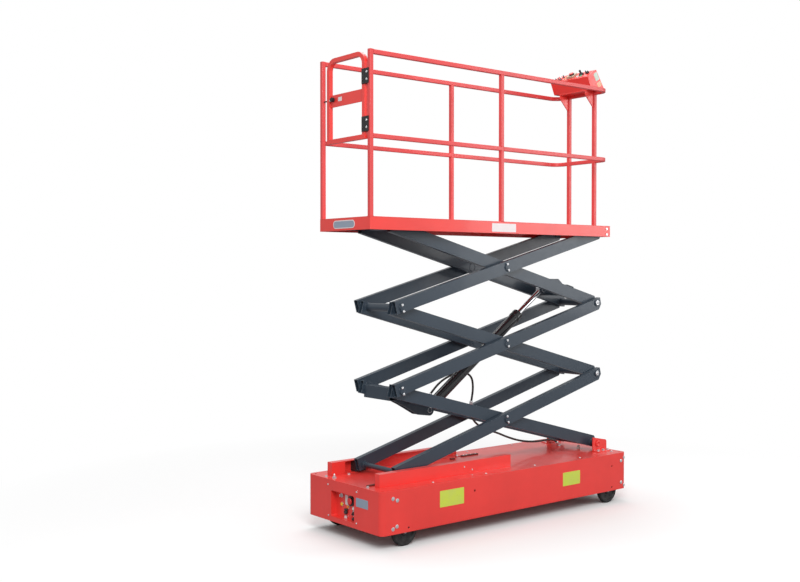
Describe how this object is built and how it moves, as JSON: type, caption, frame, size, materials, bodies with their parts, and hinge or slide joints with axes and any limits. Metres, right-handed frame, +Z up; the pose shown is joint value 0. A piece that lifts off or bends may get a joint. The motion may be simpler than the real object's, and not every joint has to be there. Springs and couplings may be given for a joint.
{
  "type": "pipe-rail scissor lift",
  "caption": "Self-propelled scissor lift for pipe rails: box chassis on stepped wheels, stacked scissor arms, lifting cylinder and a narrow railed platform with a gate and console.",
  "frame": {"origin": "on the floor under the middle of the chassis", "axes": "+X from the gate end to the console end, +Z up, -Y is the machine's right side"},
  "size_m": [2.476, 0.855, 3.4784],
  "materials": {
    "red_paint": "gloss",
    "grey_paint": "satin",
    "black_paint": "satin",
    "bright_steel": "satin",
    "chrome": "polished",
    "wheel_plastic": "matte",
    "slide_plastic": "matte",
    "control_plastic": "satin",
    "hose_rubber": "matte",
    "black_plastic": "matte"
  },
  "bodies": {
    "chassis": {"chassis_skirt": "red_paint", "chassis_frame": "red_paint", "top_plate": "red_paint", "belly_pan": "red_paint", "battery_block": "black_paint", "hydraulic_unit": "black_paint", "lower_tracks": "red_paint", "pivot_brackets": "red_paint", "base_control_box": "red_paint", "base_controls": "control_plastic", "supply_hose": "hose_rubber"},
    "inner_1": {"inner_frame_1": "grey_paint", "end_shafts_1": "bright_steel", "cylinder_base_bracket": "grey_paint", "lift_hose": "hose_rubber"},
    "outer_1": {"outer_arms_1": "grey_paint", "centre_pins_1": "bright_steel", "lower_slide_shaft": "grey_paint"},
    "outer_2": {"outer_arms_2": "grey_paint", "centre_pins_2": "bright_steel"},
    "inner_2": {"inner_frame_2": "grey_paint", "end_shafts_2": "bright_steel"},
    "inner_3": {"inner_frame_3": "grey_paint", "end_shafts_3": "bright_steel", "cylinder_rod_bracket": "grey_paint"},
    "outer_3": {"outer_arms_3": "grey_paint", "centre_pins_3": "bright_steel", "upper_pivot_shaft": "grey_paint"},
    "lower_slides": {"lower_slide_blocks": "slide_plastic"},
    "upper_slides": {"upper_slide_blocks": "slide_plastic"},
    "barrel": {"cylinder_barrel": "black_paint"},
    "rod": {"cylinder_rod": "chrome"},
    "platform": {"deck_pan": "red_paint", "deck_bearers": "red_paint", "upper_tracks": "grey_paint", "upper_pivot_plates": "grey_paint", "gate_posts": "red_paint", "middle_posts": "red_paint", "end_posts": "red_paint", "top_rail": "red_paint", "middle_rail": "red_paint", "console_box": "red_paint", "console_bracket": "red_paint", "console_controls": "control_plastic", "hinge_leaves_post": "black_plastic"},
    "gate": {"gate_frame": "red_paint", "gate_plate": "red_paint", "gate_latch": "black_plastic", "hinge_leaves_gate": "black_plastic"},
    "wheelset_gate": {"axle_gate": "bright_steel", "wheels_gate": "wheel_plastic"},
    "wheelset_console": {"axle_console": "bright_steel", "wheels_console": "wheel_plastic"}
  },
  "joints": [
    {"name": "lift", "type": "hinge", "parent": "chassis", "child": "inner_1", "pos_m": [1.1, 0, 0.451], "axis": [0, 1, 0], "range_deg": [-12.75, 10], "deforming": ["supply_hose"]},
    {"name": "cross_1", "type": "hinge", "parent": "inner_1", "child": "outer_1", "pos_m": [0.09568, 0, 0.73425], "axis": [0, 1, 0], "range_deg": [-20.01, 25.51]},
    {"name": "knee_gate_1", "type": "hinge", "parent": "inner_1", "child": "outer_2", "pos_m": [-0.90864, 0, 1.0175], "axis": [0, 1, 0], "range_deg": [-20.01, 25.51]},
    {"name": "cross_2", "type": "hinge", "parent": "outer_2", "child": "inner_2", "pos_m": [0.09568, 0, 1.30074], "axis": [0, 1, 0], "range_deg": [-25.51, 20.01]},
    {"name": "knee_console_2", "type": "hinge", "parent": "outer_2", "child": "inner_3", "pos_m": [1.1, 0, 1.58399], "axis": [0, 1, 0], "range_deg": [-25.51, 20.01]},
    {"name": "cross_3", "type": "hinge", "parent": "inner_3", "child": "outer_3", "pos_m": [0.09568, 0, 1.86724], "axis": [0, 1, 0], "range_deg": [-20.01, 25.51]},
    {"name": "platform_pivot", "type": "hinge", "parent": "outer_3", "child": "platform", "pos_m": [1.1, 0, 2.15049], "axis": [0, 1, 0], "range_deg": [-12.76, 10.01]},
    {"name": "slide_lower_turn", "type": "hinge", "parent": "outer_1", "child": "lower_slides", "pos_m": [-0.90864, 0, 0.451], "axis": [0, 1, 0], "range_deg": [-12.76, 10.01]},
    {"name": "slide_upper_turn", "type": "hinge", "parent": "inner_3", "child": "upper_slides", "pos_m": [-0.90864, 0, 2.15049], "axis": [0, 1, 0], "range_deg": [-10.01, 12.76]},
    {"name": "cylinder_swing", "type": "hinge", "parent": "inner_1", "child": "barrel", "pos_m": [-0.49, 0, 0.83], "axis": [0, 1, 0], "range_deg": [-27.33, 34.84], "deforming": ["lift_hose"]},
    {"name": "cylinder_stroke", "type": "slide", "parent": "barrel", "child": "rod", "axis": [0.8105, 0, 0.5857], "range_m": [-0.2705, 0.2122]},
    {"name": "gate_hinge", "type": "hinge", "parent": "platform", "child": "gate", "pos_m": [-1.211, -0.24, 3], "axis": [0, 0, -1], "range_deg": [0, 90]},
    {"name": "wheelset_gate_roll", "type": "hinge", "parent": "chassis", "child": "wheelset_gate", "pos_m": [-1.005, 0, 0.1], "axis": [0, 1, 0], "continuous": true},
    {"name": "wheelset_console_roll", "type": "hinge", "parent": "chassis", "child": "wheelset_console", "pos_m": [1.07, 0, 0.1], "axis": [0, 1, 0], "continuous": true}
  ],
  "couplings": [
    {"joint": "cross_1", "follows": "lift", "ratio": -2},
    {"joint": "knee_gate_1", "follows": "lift", "ratio": -2},
    {"joint": "cross_2", "follows": "lift", "ratio": 2},
    {"joint": "knee_console_2", "follows": "lift", "ratio": 2},
    {"joint": "cross_3", "follows": "lift", "ratio": -2},
    {"joint": "platform_pivot", "follows": "lift", "ratio": 1},
    {"joint": "slide_lower_turn", "follows": "lift", "ratio": 1},
    {"joint": "slide_upper_turn", "follows": "lift", "ratio": -1},
    {"joint": "cylinder_swing", "follows": "lift", "ratio": -2.7321},
    {"joint": "cylinder_stroke", "follows": "lift", "m_per_rad": 1.2131}
  ]
}
